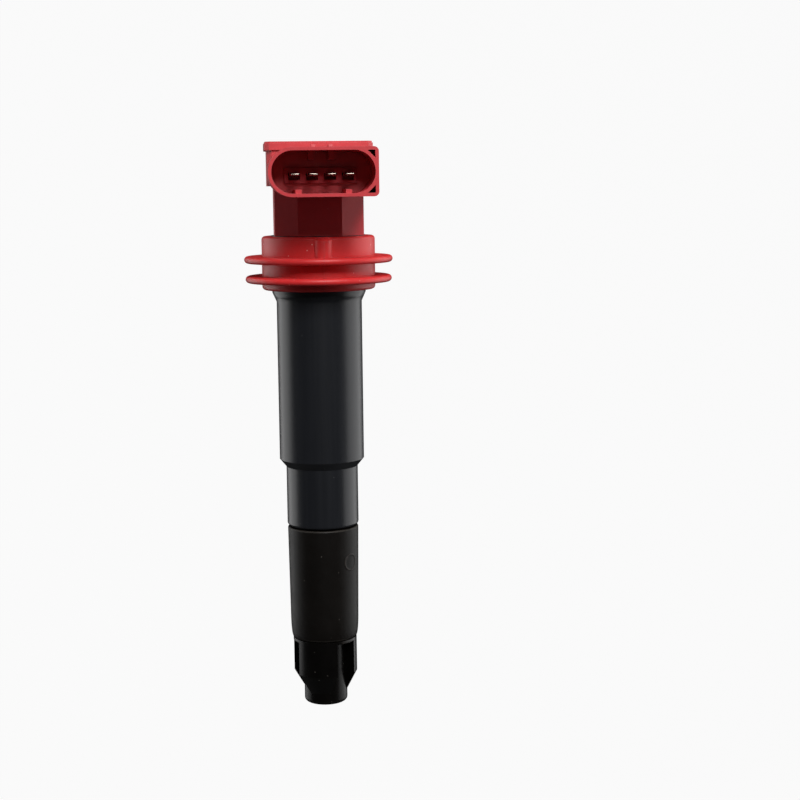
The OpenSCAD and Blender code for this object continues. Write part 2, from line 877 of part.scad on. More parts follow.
module secondary_winding() {
    color("#8c4a22")
    for (i = [0 : chambers - 1])
        ring(winding_out_r, bobbin_out_r, winding_z + i * chamber_pitch + flange_t,
            winding_z + (i + 1) * chamber_pitch);
}

// Flat steel sheets whose widths follow the round bore
module central_core() {
    sheets = floor(core_d / sheet_t);
    stack = sheets * sheet_t;
    color("#8f949a")
    translate([0, 0, core_z])
        linear_extrude(core_l)
            for (i = [0 : sheets - 1]) {
                y = -stack / 2 + i * sheet_t;
                far = max(abs(y), abs(y + sheet_t));
                half = sqrt(max(core_r * core_r - far * far, 0.25));
                translate([-half, y]) square([2 * half, sheet_t]);
            }
}

module core_sleeve() {
    color("#3b3d42")
    ring(sleeve_out_r, sleeve_in_r, core_z - magnet_h, core_top_z + magnet_h);
}

module upper_magnet() {
    color("#a9adb2") disc(core_r, core_top_z, core_top_z + magnet_h);
}

module lower_magnet() {
    color("#a9adb2") disc(core_r, core_z - magnet_h, core_z);
}

module upper_buffer() {
    color("#4a4c50")
    disc(bobbin_in_r - loose, core_top_z + magnet_h, core_top_z + magnet_h + buffer_h);
}

module lower_buffer() {
    color("#4a4c50")
    disc(bobbin_in_r - loose, core_z - magnet_h - buffer_h, core_z - magnet_h);
}

// ---------------------------------------------------------------- high-voltage end

module neck_resin() {
    color("#1d1b18")
    ring(neck_bore_r - loose, bobbin_out_r, bobbin_bottom_z, neck_top_z);
}

module high_voltage_diode() {
    z = bobbin_bottom_z + 1;
    color("#30323a") disc(diode_r, z, z + diode_l);
    color("#b8bbbf") {
        disc(lead_r, cup_z + cup_wall, z);
        disc(lead_r, z + diode_l, partition_z);
    }
}

// Pressed cup on the floor of the neck. Its boss meets the resistor
module high_voltage_cup() {
    color("#c9a24a")
    difference() {
        union() {
            disc(bobbin_out_r, cup_z, cup_z + cup_h);
            disc(resistor_d / 2 - 0.4, resistor_top_z, cup_z);
        }
        disc(bobbin_out_r - cup_wall, cup_z + cup_wall, cup_z + cup_h + cut);
    }
}

module suppressor_resistor() {
    color("#d8cfb8")
    disc(resistor_d / 2 - 0.3, resistor_end_z + resistor_cap_l, resistor_top_z - resistor_cap_l);
    color("#b9a565") {
        disc(resistor_d / 2, resistor_end_z, resistor_end_z + resistor_cap_l);
        disc(resistor_d / 2, resistor_top_z - resistor_cap_l, resistor_top_z);
    }
}

// Height along the spring: the end turns lie close together
function spring_z(t) = let (
    closed = 1 / spring_turns,
    flat = spring_wire * 1.1,
    open = spring_len - spring_wire - 2 * flat
)
    t < closed ? flat * t / closed
    : t > 1 - closed ? flat + open + flat * (t - 1 + closed) / closed
    : flat + open * (t - closed) / (1 - 2 * closed);

module contact_spring() {
    sides = 8;
    steps = spring_turns * 20;
    points = [for (i = [0 : steps], j = [0 : sides - 1]) let (
        a = 360 * spring_turns * i / steps,
        b = 360 * j / sides,
        r = spring_r + spring_wire / 2 * cos(b)
    ) [r * cos(a), r * sin(a), spring_z(i / steps) + spring_wire / 2 * (1 + sin(b))]];
    sides_faces = [for (i = [0 : steps - 1], j = [0 : sides - 1]) let (k = (j + 1) % sides)
        [i * sides + j, i * sides + k, (i + 1) * sides + k, (i + 1) * sides + j]];
    first = [for (j = [sides - 1 : -1 : 0]) j];
    last = [for (j = [0 : sides - 1]) steps * sides + j];
    color("#b4b7ba")
    translate([0, 0, contact_top_z])
        polyhedron(points, concat(sides_faces, [first, last]), convexity = 10);
}

// Pressed cap that meets the spark plug's terminal
module contact_cap() {
    r = contact_d / 2;
    color("#b9bcc0")
    difference() {
        translate([0, 0, contact_bottom_z])
            rotate_extrude()
                polygon([
                    [0, 0], [r, 0], [r, contact_h - contact_bevel],
                    [r - contact_bevel, contact_h], [0, contact_h]
                ]);
        disc(r - contact_wall, contact_bottom_z - cut, contact_top_z - contact_wall * 2);
    }
}

// ---------------------------------------------------------------- boot

module boot_sleeve() {
    curve_z = boot_end_z + boot_curve_l;
    color("#1b1816")
    difference() {
        rotate_extrude()
            polygon(concat(
                [[0, boot_top_z], [0, boot_end_z], [boot_end_r - boot_edge, boot_end_z]],
                [for (i = [0 : 8]) let (a = 90 * i / 8) [
                    boot_waist_r - boot_flare * (1 - sin(a)),
                    curve_z - (boot_curve_l - boot_edge) * cos(a)
                ]],
                arc(boot_r - boot_top_round, boot_top_z - boot_top_round, boot_top_round, 0, 90, 4)
            ));
        // grip on the tower
        disc(boot_bore_r, shank_top_z - cut / 4, boot_top_z + cut);
        // seat of the nozzle's shank and of its barb
        disc(shank_r, boot_end_z - cut, shank_top_z);
        disc(shank_r + barb, shank_top_z - barb_h - barb_drop, shank_top_z - barb_drop);
    }
}

module plug_nozzle() {
    color("#141312")
    difference() {
        union() {
            // shank and barb, held in the sleeve
            disc(shank_r, boot_end_z, shank_top_z);
            disc(shank_r + barb, shank_top_z - barb_h - barb_drop, shank_top_z - barb_drop);
            // ribs, sloped at their lower ends
            difference() {
                rotate_extrude()
                    polygon([
                        [0, boot_end_z], [0, tip_z], [tip_r, tip_z], [rib_r, rib_end_z],
                        [rib_r, boot_end_z]
                    ]);
                // three channels, as deep as the core
                for (i = [0 : 2])
                    rotate([0, 0, -90 + channel_turn + 120 * i])
                        translate([0, -channel_w / 2, tip_z - cut])
                            cube([rib_r + cut, channel_w, boot_end_z - tip_z + cut - channel_roof]);
            }
            // core and tip
            rotate_extrude()
                polygon(concat(
                    [[0, boot_end_z], [0, nozzle_end_z]],
                    arc(tip_r - tip_round, nozzle_end_z + tip_round, tip_round, -90, 0),
                    [[tip_r, boot_end_z]]
                ));
        }
        disc(plug_bore_d / 2, nozzle_end_z - cut, plug_bore_z);
        disc(spring_bore_d / 2, nozzle_end_z, shank_top_z + cut);
    }
}

head_housing();
terminal_carrier();
terminal_pin_1();
terminal_pin_2();
terminal_pin_3();
terminal_pin_4();
mount_bushing();
potting_resin();
driver_board();
power_module();
heat_spreader();
primary_leads();
well_seal();
coil_tube();
outer_core();
primary_bobbin();
primary_winding();
secondary_bobbin();
secondary_winding();
central_core();
core_sleeve();
upper_magnet();
lower_magnet();
upper_buffer();
lower_buffer();
neck_resin();
high_voltage_diode();
high_voltage_cup();
suppressor_resistor();
contact_spring();
contact_cap();
boot_sleeve();
plug_nozzle();
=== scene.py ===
"""Looks of a plug-top ignition coil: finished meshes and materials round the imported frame."""
import math

import bmesh
import bpy
from mathutils import Matrix, Vector
from mathutils.bvhtree import BVHTree


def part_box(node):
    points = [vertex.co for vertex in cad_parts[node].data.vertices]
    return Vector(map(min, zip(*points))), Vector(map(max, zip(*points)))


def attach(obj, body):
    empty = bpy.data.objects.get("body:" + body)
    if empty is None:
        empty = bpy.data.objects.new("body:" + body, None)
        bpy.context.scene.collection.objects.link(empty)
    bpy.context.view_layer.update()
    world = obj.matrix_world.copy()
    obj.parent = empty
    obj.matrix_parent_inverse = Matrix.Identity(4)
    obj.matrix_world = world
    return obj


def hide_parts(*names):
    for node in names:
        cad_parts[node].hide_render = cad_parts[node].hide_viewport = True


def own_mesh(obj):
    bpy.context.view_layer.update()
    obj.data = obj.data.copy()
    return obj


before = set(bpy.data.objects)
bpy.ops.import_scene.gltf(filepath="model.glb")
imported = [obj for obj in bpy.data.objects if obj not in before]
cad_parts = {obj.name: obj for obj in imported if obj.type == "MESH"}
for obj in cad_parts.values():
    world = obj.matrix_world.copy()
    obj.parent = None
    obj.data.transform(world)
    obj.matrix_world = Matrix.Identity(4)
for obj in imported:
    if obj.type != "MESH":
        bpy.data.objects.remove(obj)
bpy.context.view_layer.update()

MM = 0.001


# ------------------------------------------------------------------ camera, light and floor

# Strength of the world's light on the coil, and as the camera sees it
AMBIENT, WHITE = 0.05, 0.98
# How strongly the paper floor shines towards the camera alone
PAPER_GLOW = 0.94


def make_camera():
    """Stands half a metre in front of the coil, level with the connector, and looks a little down."""
    distance, height = 0.479, 0.0333
    side_angle = math.radians(-2.8)
    aim_angle, pitch, roll = math.radians(-5.6), math.radians(-7.5), math.radians(-0.65)
    camera = bpy.data.objects.new("camera", bpy.data.cameras.new("camera"))
    camera.data.sensor_width = 36.0
    camera.data.lens = 73.3
    camera.data.clip_start = 0.01
    camera.data.clip_end = 20.0
    camera.location = (distance * math.sin(side_angle), -distance * math.cos(side_angle), height)
    turn = Matrix.Rotation(aim_angle, 4, "Z") @ Matrix.Rotation(math.pi / 2 + pitch, 4, "X")
    camera.rotation_euler = (turn @ Matrix.Rotation(roll, 4, "Z")).to_euler()
    bpy.context.scene.collection.objects.link(camera)
    bpy.context.scene.camera = camera


def softbox(name, place, aim, width, height, radiance):
    """A soft light of the given size, whose face has the given radiance."""
    light = bpy.data.lights.new(name, "AREA")
    light.shape = "RECTANGLE"
    light.size = width
    light.size_y = height
    light.energy = radiance * math.pi * width * height
    lamp = bpy.data.objects.new(name, light)
    lamp.location = place
    lamp.visible_camera = False
    lamp.rotation_euler = (Vector(aim) - Vector(place)).to_track_quat("-Z", "Y").to_euler()
    bpy.context.scene.collection.objects.link(lamp)


def make_world():
    """White all round for the eye, and a dim even light on the coil."""
    world = bpy.data.worlds.new("studio")
    world.use_nodes = True
    tree = world.node_tree
    background = tree.nodes["Background"]
    rays = tree.nodes.new("ShaderNodeLightPath")
    level = tree.nodes.new("ShaderNodeMapRange")
    level.inputs["To Min"].default_value = AMBIENT
    level.inputs["To Max"].default_value = WHITE
    tree.links.new(rays.outputs["Is Camera Ray"], level.inputs["Value"])
    tree.links.new(level.outputs["Result"], background.inputs["Strength"])
    background.inputs["Color"].default_value = (1.0, 1.0, 1.0, 1.0)
    bpy.context.scene.world = world


def make_floor():
    """A pale paper floor that sweeps up behind the coil. The coil hangs over it."""
    floor_z, half, back_y, bend, bend_steps = -0.80, 3.0, 2.6, 0.9, 12
    profile = [(-half, floor_z)]
    profile += [
        (back_y - bend + bend * math.sin(a), floor_z + bend - bend * math.cos(a))
        for a in [math.radians(90.0 / bend_steps * i) for i in range(bend_steps + 1)]
    ]
    profile += [(back_y, half)]
    corners = [(x, y, z) for y, z in profile for x in (-half, half)]
    faces = [(2 * i, 2 * i + 1, 2 * i + 3, 2 * i + 2) for i in range(len(profile) - 1)]
    mesh = bpy.data.meshes.new("studio_floor")
    mesh.from_pydata(corners, [], faces)
    mesh.polygons.foreach_set("use_smooth", [True] * len(mesh.polygons))
    paper = bpy.data.materials.new("studio_paper")
    paper.use_nodes = True
    tree = paper.node_tree
    shader = tree.nodes["Principled BSDF"]
    shader.inputs["Base Color"].default_value = (0.09, 0.09, 0.09, 1.0)
    shader.inputs["Roughness"].default_value = 0.9
    shader.inputs["Specular IOR Level"].default_value = 0.1
    shader.inputs["Emission Strength"].default_value = PAPER_GLOW
    rays = tree.nodes.new("ShaderNodeLightPath")
    tree.links.new(rays.outputs["Is Camera Ray"], shader.inputs["Emission Color"])
    mesh.materials.append(paper)
    floor = bpy.data.objects.new("studio_floor", mesh)
    bpy.context.scene.collection.objects.link(floor)


def make_studio():
    """Tall softboxes at both sides and a key light at the upper right."""
    bpy.context.scene.view_settings.view_transform = "Standard"
    make_world()
    make_floor()
    softbox("left_softbox", (-0.80, 0.45, 0.05), (0, 0, -0.02), 0.9, 1.0, 1.8)
    softbox("right_softbox", (0.80, 0.20, 0.05), (0, 0, -0.02), 1.1, 1.0, 1.7)
    softbox("key_softbox", (0.16, -0.86, 0.66), (0, 0, 0), 0.45, 0.5, 18.5)
    softbox("top_softbox", (-0.10, 0.10, 0.95), (0, 0, 0), 0.6, 0.6, 3.0)


# ------------------------------------------------------------------ shader node groups

def new_group(name, inputs, outputs):
    """A shader node group. inputs are (name, value) and outputs are names; all are floats."""
    group = bpy.data.node_groups.new(name, "ShaderNodeTree")
    for socket_name, value in inputs:
        socket = group.interface.new_socket(
            socket_name, in_out="INPUT", socket_type="NodeSocketFloat"
        )
        socket.default_value = value
    for socket_name in outputs:
        group.interface.new_socket(socket_name, in_out="OUTPUT", socket_type="NodeSocketFloat")
    return group, group.nodes.new("NodeGroupInput"), group.nodes.new("NodeGroupOutput")


def add(tree, kind, **settings):
    """A new node with its properties and, by name or number, its input values."""
    values = settings.pop("values", {})
    node = tree.nodes.new(kind)
    for key, value in settings.items():
        setattr(node, key, value)
    for key, value in values.items():
        node.inputs[key].default_value = value
    return node


def math_node(tree, operation, first, second=None, third=None, clamp=False):
    """A Math node whose inputs are numbers or sockets. Returns its output."""
    node = add(tree, "ShaderNodeMath", operation=operation, use_clamp=clamp)
    for index, value in enumerate((first, second, third)):
        if isinstance(value, bpy.types.NodeSocket):
            tree.links.new(value, node.inputs[index])
        elif value is not None:
            node.inputs[index].default_value = value
    return node.outputs[0]


def object_point(tree):
    return add(tree, "ShaderNodeTexCoord").outputs["Object"]


def noise(tree, scale, detail=2.0, roughness=0.5, point=None):
    """A noise texture on object coordinates. scale is a number or a socket, in cycles a metre."""
    node = add(tree, "ShaderNodeTexNoise", values={"Detail": detail, "Roughness": roughness})
    tree.links.new(point or object_point(tree), node.inputs["Vector"])
    if isinstance(scale, bpy.types.NodeSocket):
        tree.links.new(scale, node.inputs["Scale"])
    else:
        node.inputs["Scale"].default_value = scale
    return node.outputs["Fac"]


def grain_group():
    """Fine spark-eroded grain of a moulding: a height of 0 to 1."""
    group, given, out = new_group("moulded_grain", [("Scale", 4000.0), ("Contrast", 1.6)], ["Height"])
    fine = noise(group, given.outputs["Scale"], 3.0, 0.65)
    coarse = noise(group, math_node(group, "MULTIPLY", given.outputs["Scale"], 0.23), 1.0)
    mixed = math_node(group, "MULTIPLY_ADD", coarse, 0.4, math_node(group, "MULTIPLY", fine, 0.6))
    centred = math_node(group, "SUBTRACT", mixed, 0.5)
    height = math_node(group, "MULTIPLY_ADD", centred, given.outputs["Contrast"], 0.5, clamp=True)
    group.links.new(height, out.inputs["Height"])
    return group


def specks_group():
    """Sparse round specks of dust or flaws: a mask of 0 to 1."""
    group, given, out = new_group(
        "dust_specks", [("Scale", 600.0), ("Size", 0.12), ("Share", 0.08)], ["Mask"]
    )
    cells = add(group, "ShaderNodeTexVoronoi", values={"Randomness": 1.0})
    group.links.new(object_point(group), cells.inputs["Vector"])
    group.links.new(given.outputs["Scale"], cells.inputs["Scale"])
    dot = math_node(group, "LESS_THAN", cells.outputs["Distance"], given.outputs["Size"])
    pick = add(group, "ShaderNodeSeparateColor")
    group.links.new(cells.outputs["Color"], pick.inputs["Color"])
    chosen = math_node(group, "LESS_THAN", pick.outputs["Red"], given.outputs["Share"])
    strength = math_node(group, "MULTIPLY_ADD", pick.outputs["Green"], 0.6, 0.4)
    mask = math_node(group, "MULTIPLY", math_node(group, "MULTIPLY", dot, chosen), strength)
    group.links.new(mask, out.inputs["Mask"])
    return group


def edge_scuff_and_highlight_group():
    """Lighter outer edges, partly rubbed wear and partly a painted highlight along the rounded edges,
    broken up by noise. It reads the edge attribute of a finished piece.
    """
    group, given, out = new_group(
        "rubbed_edges", [("Amount", 0.5), ("Patch scale", 300.0)], ["Mask"]
    )
    edge = add(group, "ShaderNodeAttribute", attribute_name="edge").outputs["Fac"]
    patches = noise(group, given.outputs["Patch scale"], 3.0, 0.6)
    patchy = math_node(group, "MULTIPLY_ADD", patches, 1.4, -0.1, clamp=True)
    # Mask of the painted edge highlight and the rubbed wear on rounded outer edges
    edge_scuff_and_highlight_mask = math_node(group, "MULTIPLY", edge, patchy)
    mask = math_node(group, "MULTIPLY", edge_scuff_and_highlight_mask, given.outputs["Amount"], clamp=True)
    group.links.new(mask, out.inputs["Mask"])
    return group


def streaks_group():
    """Faint streaks along Z, as a mould leaves in a drawn tube: a value of 0 to 1."""
    group, given, out = new_group("mould_streaks", [("Scale", 900.0), ("Stretch", 0.03)], ["Value"])
    stretch = add(group, "ShaderNodeCombineXYZ", values={"X": 1.0, "Y": 1.0})
    group.links.new(given.outputs["Stretch"], stretch.inputs["Z"])
    scaled = add(group, "ShaderNodeVectorMath", operation="MULTIPLY")
    group.links.new(object_point(group), scaled.inputs[0])
    group.links.new(stretch.outputs["Vector"], scaled.inputs[1])
    value = noise(group, given.outputs["Scale"], 2.0, 0.5, scaled.outputs["Vector"])
    group.links.new(value, out.inputs["Value"])
    return group


GROUPS = {
    "grain": grain_group(),
    "specks": specks_group(),
    "edges": edge_scuff_and_highlight_group(),
    "streaks": streaks_group(),
}


def place_group(tree, key, **values):
    """A node group in a material, with its own values. Returns its first output."""
    node = tree.nodes.new("ShaderNodeGroup")
    node.node_tree = GROUPS[key]
    for name, value in values.items():
        node.inputs[name.replace("_", " ").capitalize()].default_value = value
    return node.outputs[0]


# ------------------------------------------------------------------ materials

def mix_colour(tree, factor, first, second):
    """A colour mix. first and second are colours or sockets."""
    node = add(tree, "ShaderNodeMix", data_type="RGBA")
    tree.links.new(factor, node.inputs["Factor"])
    for name, value in (("A", first), ("B", second)):
        socket = [s for s in node.inputs if s.name == name and s.type == "RGBA"][0]
        if isinstance(value, bpy.types.NodeSocket):
            tree.links.new(value, socket)
        else:
            socket.default_value = (*value, 1.0)
    return [s for s in node.outputs if s.type == "RGBA"][0]


def start_material(name, **constants):
    """A material with constant values on the shader's own sockets, its tree and its shader."""
    material = bpy.data.materials.new(name)
    material.use_nodes = True
    tree = material.node_tree
    shader = tree.nodes["Principled BSDF"]
    for key, value in constants.items():
        shader.inputs[key.replace("_", " ")].default_value = value
    return material, tree, shader


def drive_roughness(tree, shader, low, high, mask):
    """Roughness from low to high as the mask goes from 0 to 1."""
    span = add(tree, "ShaderNodeMapRange", values={"To Min": low, "To Max": high})
    tree.links.new(mask, span.inputs["Value"])
    tree.links.new(span.outputs["Result"], shader.inputs["Roughness"])


def drive_bump(tree, shader, height, distance):
    """A bump whose full height stands for the given distance in metres."""
    bump = add(tree, "ShaderNodeBump", values={"Strength": 1.0, "Distance": distance})
    tree.links.new(height, bump.inputs["Height"])
    tree.links.new(bump.outputs["Normal"], shader.inputs["Normal"])


def moulded_plastic(
    name, base, shade, pale, rough, grain_scale, grain_depth, edge_scuff_and_highlight=0.22, specks=0.05, **constants
):
    """A filled moulding: mottled colour, eroded grain, a few pale specks and lighter edges, which are
    a painted highlight with some rubbed wear.
    """
    material, tree, shader = start_material(name, **constants)
    mottle = noise(tree, 140.0, 3.0, 0.55)
    body = mix_colour(tree, mottle, base, shade)
    fine = noise(tree, 2600.0, 1.0, 0.5)
    flecked = mix_colour(tree, math_node(tree, "MULTIPLY", fine, 0.04), body, pale)
    # Lighter edges in the pale colour: a painted highlight along the rounded edges, with some rubbed
    # wear.
    edge_scuff_and_highlight_mask = place_group(tree, "edges", Amount=edge_scuff_and_highlight, Patch_scale=220.0)
    edged = mix_colour(tree, edge_scuff_and_highlight_mask, flecked, pale)
    dust = place_group(tree, "specks", Scale=900.0, Size=0.11, Share=specks)
    dusty = mix_colour(tree, math_node(tree, "MULTIPLY", dust, 0.5), edged, pale)
    tree.links.new(dusty, shader.inputs["Base Color"])
    drive_roughness(tree, shader, rough - 0.06, rough + 0.08, mottle)
    drive_bump(tree, shader, place_group(tree, "grain", Scale=grain_scale), grain_depth)
    return material


def silicone(name):
    """Soft translucent red silicone with a bloom of fine dust on it."""
    material, tree, shader = start_material(
        name, Subsurface_Weight=0.30, Subsurface_Radius=(0.0016, 0.0004, 0.0003),
        Subsurface_Scale=1.0, Specular_IOR_Level=0.4
    )
    mottle = noise(tree, 180.0, 3.0, 0.6)
    body = mix_colour(tree, mottle, (0.54, 0.013, 0.016), (0.63, 0.020, 0.022))
    bloom = math_node(tree, "MULTIPLY", noise(tree, 700.0, 4.0, 0.7), 0.05)
    powdered = mix_colour(tree, bloom, body, (0.85, 0.30, 0.26))
    dust = place_group(tree, "specks", Scale=750.0, Size=0.14, Share=0.09)
    dusty = mix_colour(tree, math_node(tree, "MULTIPLY", dust, 0.55), powdered, (0.92, 0.55, 0.50))
    tree.links.new(dusty, shader.inputs["Base Color"])
    drive_roughness(tree, shader, 0.36, 0.52, mottle)
    drive_bump(tree, shader, place_group(tree, "grain", Scale=2600.0, Contrast=1.2), 0.00003)
    return material


def tube_plastic(name):
    """Dark blue-grey tube: faint draw streaks, hair scratches, pale specks and lighter edges, partly
    rubbed wear and partly a painted highlight.
    """
    material, tree, shader = start_material(name, Specular_IOR_Level=0.42)
    streak = place_group(tree, "streaks", Scale=800.0, Stretch=0.02)
    body = mix_colour(tree, streak, (0.0065, 0.0072, 0.0092), (0.011, 0.012, 0.015))
    cloud = math_node(tree, "MULTIPLY", noise(tree, 90.0, 3.0, 0.6), 0.35)
    clouded = mix_colour(tree, cloud, body, (0.014, 0.015, 0.018))
    # Pale edges: partly rubbed wear and partly a painted highlight along the rounded rims.
    edge_scuff_and_highlight_mask = place_group(tree, "edges", Amount=0.35, Patch_scale=300.0)
    edged = mix_colour(tree, edge_scuff_and_highlight_mask, clouded, (0.10, 0.105, 0.12))
    dust = place_group(tree, "specks", Scale=700.0, Size=0.10, Share=0.05)
    dusty = mix_colour(tree, math_node(tree, "MULTIPLY", dust, 0.30), edged, (0.30, 0.30, 0.30))
    tree.links.new(dusty, shader.inputs["Base Color"])
    drive_roughness(tree, shader, 0.26, 0.40, streak)
    drive_bump(tree, shader, place_group(tree, "grain", Scale=3000.0, Contrast=0.9), 0.000012)
    return material


def rubber(name, base, shade, rough, bloom_colour, bloom_share, grain_depth, gloss):
    """Black rubber: a brown bloom in patches, a dull grain, scattered dust and lighter edges, partly
    rubbed wear and partly a painted highlight.
    """
    material, tree, shader = start_material(name, Specular_IOR_Level=gloss)
    mottle = noise(tree, 260.0, 4.0, 0.65)
    body = mix_colour(tree, mottle, base, shade)
    patches = math_node(tree, "MULTIPLY", noise(tree, 60.0, 3.0, 0.6), bloom_share)
    bloomed = mix_colour(tree, patches, body, bloom_colour)
    # Lighter edges: a painted highlight on the rounded edges and rib corners, with some rubbed wear.
    edge_scuff_and_highlight_mask = place_group(tree, "edges", Amount=0.45, Patch_scale=260.0)
    edged = mix_colour(tree, edge_scuff_and_highlight_mask, bloomed, (0.075, 0.066, 0.058))
    dust = place_group(tree, "specks", Scale=800.0, Size=0.12, Share=0.10)
    dusty = mix_colour(tree, math_node(tree, "MULTIPLY", dust, 0.35), edged, (0.26, 0.24, 0.21))
    tree.links.new(dusty, shader.inputs["Base Color"])
    drive_roughness(tree, shader, rough - 0.07, rough + 0.09, mottle)
    drive_bump(tree, shader, place_group(tree, "grain", Scale=2400.0, Contrast=1.5), grain_depth)
    return material


def potting(name):
    """Cast black resin: glossy, faintly rippled, with a few pinholes and settled dust."""
    material, tree, shader = start_material(
        name, Coat_Weight=0.6, Coat_Roughness=0.03, Specular_IOR_Level=0.5
    )
    mottle = noise(tree, 120.0, 2.0, 0.5)
    body = mix_colour(tree, mottle, (0.008, 0.007, 0.006), (0.012, 0.010, 0.008))
    dust = place_group(tree, "specks", Scale=420.0, Size=0.07, Share=0.10)
    dusty = mix_colour(tree, math_node(tree, "MULTIPLY", dust, 0.6), body, (0.40, 0.38, 0.34))
    tree.links.new(dusty, shader.inputs["Base Color"])
    drive_roughness(tree, shader, 0.05, 0.11, mottle)
    drive_bump(tree, shader, noise(tree, 110.0, 2.0, 0.4), 0.00005)
    return material


def metal(
    name, base, shade, rough, streak_scale=1500.0, stretch=0.05, stain=(0.20, 0.19, 0.18), **constants
):
    """Plated or rolled metal: streaks, dull stains and brighter edges, partly rubbed wear and partly
    a painted highlight.
    """
    material, tree, shader = start_material(name, Metallic=1.0, **constants)
    streak = place_group(tree, "streaks", Scale=streak_scale, Stretch=stretch)
    body = mix_colour(tree, streak, base, shade)
    patch = noise(tree, 420.0, 4.0, 0.65)
    mask = math_node(tree, "MULTIPLY_ADD", patch, 3.0, -1.65, clamp=True)
    stained = mix_colour(tree, math_node(tree, "MULTIPLY", mask, 0.45), body, stain)
    # Brighter edges: partly rubbed wear and partly a painted highlight.
    edge_scuff_and_highlight_mask = place_group(tree, "edges", Amount=0.6, Patch_scale=500.0)
    bright = tuple(min(1.0, c * 1.2 + 0.05) for c in base)
    tree.links.new(mix_colour(tree, edge_scuff_and_highlight_mask, stained, bright), shader.inputs["Base Color"])
    drive_roughness(tree, shader, rough - 0.08, rough + 0.14, patch)
    drive_bump(tree, shader, streak, 0.00001)
    return material


def bands_scale(pitch):
    """A Wave texture's Scale for bands that repeat every pitch, in metres."""
    return math.pi / 10 / pitch


def wound_copper(name, base, shade, wire_pitch):
    """Enamelled wire, wound in turns along Z, with painted shade darkening the grooves between the
    turns.
    """
    material, tree, shader = start_material(
        name, Metallic=0.85, Coat_Weight=0.4, Coat_Roughness=0.15
    )
    turns = add(
        tree, "ShaderNodeTexWave", wave_type="BANDS", bands_direction="Z", wave_profile="SIN",
        values={"Scale": bands_scale(wire_pitch), "Distortion": 0.0}
    )
    tree.links.new(object_point(tree), turns.inputs["Vector"])
    mottle = noise(tree, 300.0, 3.0, 0.5)
    body = mix_colour(tree, mottle, base, shade)
    # Painted shade: the grooves between the turns are darkened to a quarter of the wire's colour.
    dark = tuple(c * 0.25 for c in base)
    tree.links.new(mix_colour(tree, turns.outputs["Fac"], dark, body), shader.inputs["Base Color"])
    drive_roughness(tree, shader, 0.24, 0.42, mottle)
    drive_bump(tree, shader, turns.outputs["Fac"], wire_pitch * 0.4)
    return material


def ceramic(name, base, shade):
    """Fired ceramic with a fine grain and faint speckles."""
    material, tree, shader = start_material(name, Specular_IOR_Level=0.5)
    mottle = noise(tree, 500.0, 4.0, 0.6)
    body = mix_colour(tree, mottle, base, shade)
    dots = place_group(tree, "specks", Scale=1500.0, Size=0.16, Share=0.12)
    spotted = mix_colour(tree, math_node(tree, "MULTIPLY", dots, 0.35), body, (0.25, 0.22, 0.18))
    tree.links.new(spotted, shader.inputs["Base Color"])
    drive_roughness(tree, shader, 0.42, 0.60, mottle)
    drive_bump(tree, shader, place_group(tree, "grain", Scale=3500.0), 0.00001)
    return material


def laminated_steel(name, sheet):
    """Stacked electrical steel: the joints between the sheets show as dark lines across Y."""
    material, tree, shader = start_material(name, Metallic=0.9)
    joints = add(
        tree, "ShaderNodeTexWave", wave_type="BANDS", bands_direction="Y", wave_profile="SAW",
        values={"Scale": bands_scale(sheet), "Distortion": 0.0}
    )
    tree.links.new(object_point(tree), joints.inputs["Vector"])
    line = math_node(tree, "GREATER_THAN", joints.outputs["Fac"], 0.93)
    streak = place_group(tree, "streaks", Scale=2000.0, Stretch=0.03)
    body = mix_colour(tree, streak, (0.34, 0.35, 0.37), (0.46, 0.47, 0.49))
    tree.links.new(mix_colour(tree, line, body, (0.03, 0.03, 0.03)), shader.inputs["Base Color"])
    drive_roughness(tree, shader, 0.32, 0.52, streak)
    drive_bump(tree, shader, joints.outputs["Fac"], 0.00002)
    return material


